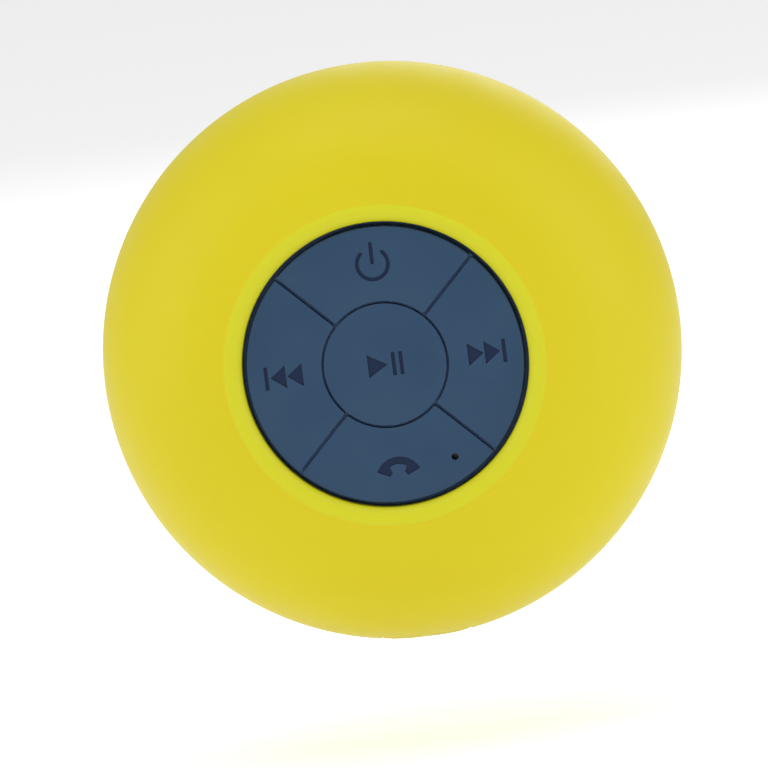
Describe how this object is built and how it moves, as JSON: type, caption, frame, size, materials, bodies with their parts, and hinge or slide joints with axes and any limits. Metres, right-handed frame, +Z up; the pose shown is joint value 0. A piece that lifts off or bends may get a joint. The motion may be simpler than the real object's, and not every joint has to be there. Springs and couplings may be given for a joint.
{
  "type": "shower speaker",
  "caption": "Round splash-proof wireless speaker in a silicone jacket, with a round front keypad and a rear suction cup that holds it to a smooth wall.",
  "frame": {"origin": "centre of the suction cup's lip, in the plane of the wall", "axes": "+Z up, front of the speaker towards -Y, +X to the right seen from the front"},
  "size_m": [0.086, 0.055, 0.086],
  "materials": {
    "jacket_silicone": "matte yellow silicone",
    "cup_silicone": "soft translucent yellow silicone",
    "housing_plastic": "moulded ABS",
    "cover_plastic": "fine-textured moulded ABS",
    "key_plastic": "satin slate blue",
    "membrane_silicone": "matte silicone",
    "frame_plastic": "natural ABS",
    "screw_steel": "zinc plated",
    "board_green": "solder mask",
    "chip_black": "moulded epoxy",
    "shield_steel": "tinned",
    "aluminium_can": "bare can",
    "switch_plastic": "moulded nylon",
    "plunger_plastic": "moulded acetal",
    "foil_pouch": "laminated pouch",
    "foam_black": "adhesive foam",
    "mesh_fabric": "water-shedding acoustic mesh",
    "wire_red": "PVC insulation",
    "wire_black": "PVC insulation",
    "basket_steel": "black paint",
    "surround_rubber": "soft rubber",
    "cone_paper": "polypropylene",
    "spider_cloth": "resin-dipped cloth",
    "former_film": "polyimide film",
    "coil_copper": "enamelled copper",
    "magnet_ferrite": "sintered",
    "pole_steel": "zinc plated",
    "brass_tab": "tinned",
    "stud_plastic": "acetal",
    "seal_rubber": "nitrile"
  },
  "bodies": {
    "cup": {"suction_cup": "cup_silicone"},
    "stud": {"cup_stud": "stud_plastic", "stud_washer": "screw_steel", "stud_screw": "screw_steel"},
    "cone": {"driver_cone": "cone_paper", "dust_cap": "cone_paper", "coil_former": "former_film", "voice_coil": "coil_copper"},
    "flap": {"port_flap": "jacket_silicone"},
    "play_key": {"key_play": "key_plastic"},
    "play_switch": {"plunger_play": "plunger_plastic"},
    "power_key": {"key_power": "key_plastic"},
    "power_switch": {"plunger_power": "plunger_plastic"},
    "next_key": {"key_next": "key_plastic"},
    "next_switch": {"plunger_next": "plunger_plastic"},
    "previous_key": {"key_previous": "key_plastic"},
    "previous_switch": {"plunger_previous": "plunger_plastic"},
    "phone_key": {"key_phone": "key_plastic"},
    "phone_switch": {"plunger_phone": "plunger_plastic"},
    "speaker": {"acoustic_mesh": "mesh_fabric", "amplifier_chip": "chip_black", "battery_cell": "foil_pouch", "battery_lead_black": "wire_black", "battery_lead_red": "wire_red", "battery_pad": "foam_black", "board_capacitors": "aluminium_can", "board_screws": "screw_steel", "charge_board": "board_green", "charge_lead_black": "wire_black", "charge_lead_red": "wire_red", "charge_screws": "screw_steel", "charge_socket": "shield_steel", "charge_tongue": "switch_plastic", "driver_basket": "basket_steel", "driver_gasket": "foam_black", "driver_magnet": "magnet_ferrite", "driver_screws": "screw_steel", "driver_spider": "spider_cloth", "driver_surround": "surround_rubber", "driver_top_plate": "pole_steel", "driver_yoke": "pole_steel", "frame_screws": "screw_steel", "front_housing": "housing_plastic", "housing_screws": "screw_steel", "housing_seal": "seal_rubber", "inner_frame": "frame_plastic", "keypad_membrane": "membrane_silicone", "main_board": "board_green", "microphone": "aluminium_can", "microphone_boot": "seal_rubber", "radio_module": "shield_steel", "rear_cover": "cover_plastic", "silicone_jacket": "jacket_silicone", "speaker_lead_black": "wire_black", "speaker_lead_red": "wire_red", "switch_bodies": "switch_plastic", "terminal_board": "board_green", "terminal_tabs": "brass_tab"}
  },
  "joints": [
    {"name": "cup_press", "type": "slide", "parent": "cup", "child": "stud", "axis": [0, 1, 0], "range_m": [0, 0.006], "stiffness_N_per_m": 2500, "deforming": ["suction_cup"]},
    {"name": "cup_swivel", "type": "hinge", "parent": "stud", "child": "speaker", "pos_m": [0, -0.0213, 0], "axis": [0, 1, 0], "continuous": true},
    {"name": "cone_travel", "type": "slide", "parent": "speaker", "child": "cone", "axis": [0, 1, 0], "range_m": [-0.001, 0.001], "stiffness_N_per_m": 1800, "deforming": ["driver_surround", "driver_spider"]},
    {"name": "flap_hinge", "type": "hinge", "parent": "speaker", "child": "flap", "pos_m": [-0.0065, -0.0355, -0.0425], "axis": [0, 1, 0], "range_deg": [0, 115]},
    {"name": "play_press", "type": "slide", "parent": "speaker", "child": "play_key", "axis": [0, 1, 0], "range_m": [0, 0.0006], "stiffness_N_per_m": 3000, "deforming": ["keypad_membrane"]},
    {"name": "play_switch_press", "type": "slide", "parent": "speaker", "child": "play_switch", "axis": [0, 1, 0], "range_m": [0, 0.00025]},
    {"name": "power_press", "type": "slide", "parent": "speaker", "child": "power_key", "axis": [0, 1, 0], "range_m": [0, 0.0006], "stiffness_N_per_m": 3000, "deforming": ["keypad_membrane"]},
    {"name": "power_switch_press", "type": "slide", "parent": "speaker", "child": "power_switch", "axis": [0, 1, 0], "range_m": [0, 0.00025]},
    {"name": "next_press", "type": "slide", "parent": "speaker", "child": "next_key", "axis": [0, 1, 0], "range_m": [0, 0.0006], "stiffness_N_per_m": 3000, "deforming": ["keypad_membrane"]},
    {"name": "next_switch_press", "type": "slide", "parent": "speaker", "child": "next_switch", "axis": [0, 1, 0], "range_m": [0, 0.00025]},
    {"name": "previous_press", "type": "slide", "parent": "speaker", "child": "previous_key", "axis": [0, 1, 0], "range_m": [0, 0.0006], "stiffness_N_per_m": 3000, "deforming": ["keypad_membrane"]},
    {"name": "previous_switch_press", "type": "slide", "parent": "speaker", "child": "previous_switch", "axis": [0, 1, 0], "range_m": [0, 0.00025]},
    {"name": "phone_press", "type": "slide", "parent": "speaker", "child": "phone_key", "axis": [0, 1, 0], "range_m": [0, 0.0006], "stiffness_N_per_m": 3000, "deforming": ["keypad_membrane"]},
    {"name": "phone_switch_press", "type": "slide", "parent": "speaker", "child": "phone_switch", "axis": [0, 1, 0], "range_m": [0, 0.00025]}
  ],
  "couplings": [
    {"joint": "play_switch_press", "follows": "play_press", "ratio": 0.41663},
    {"joint": "power_switch_press", "follows": "power_press", "ratio": 0.41663},
    {"joint": "next_switch_press", "follows": "next_press", "ratio": 0.41663},
    {"joint": "previous_switch_press", "follows": "previous_press", "ratio": 0.41663},
    {"joint": "phone_switch_press", "follows": "phone_press", "ratio": 0.41663}
  ]
}
